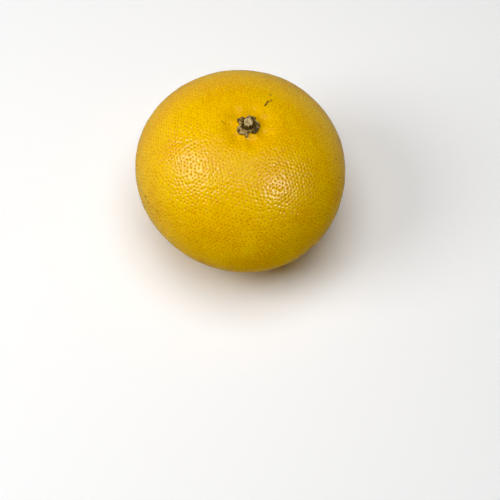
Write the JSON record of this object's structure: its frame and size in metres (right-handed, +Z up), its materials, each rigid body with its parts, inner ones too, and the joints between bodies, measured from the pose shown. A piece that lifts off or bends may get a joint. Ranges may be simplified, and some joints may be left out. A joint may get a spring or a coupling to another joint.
{
  "type": "grapefruit",
  "caption": "Whole citrus fruit, round and slightly squat, with a pitted golden-yellow rind and a dry star-shaped calyx round a short stem stub on its top.",
  "frame": {"origin": "on the surface that the fruit rests on, under the middle of its box", "axes": "+Z up from the blossom end to the stem end, +X 16 degrees clockwise, seen from above, of the side that the stem end leans to"},
  "size_m": [0.1052, 0.1028, 0.0926],
  "materials": {
    "rind": "satin",
    "calyx": "matte",
    "stem": "matte"
  },
  "bodies": {
    "root": {"fruit": "rind", "calyx": "calyx", "stem_stub": "stem"}
  },
  "joints": []
}
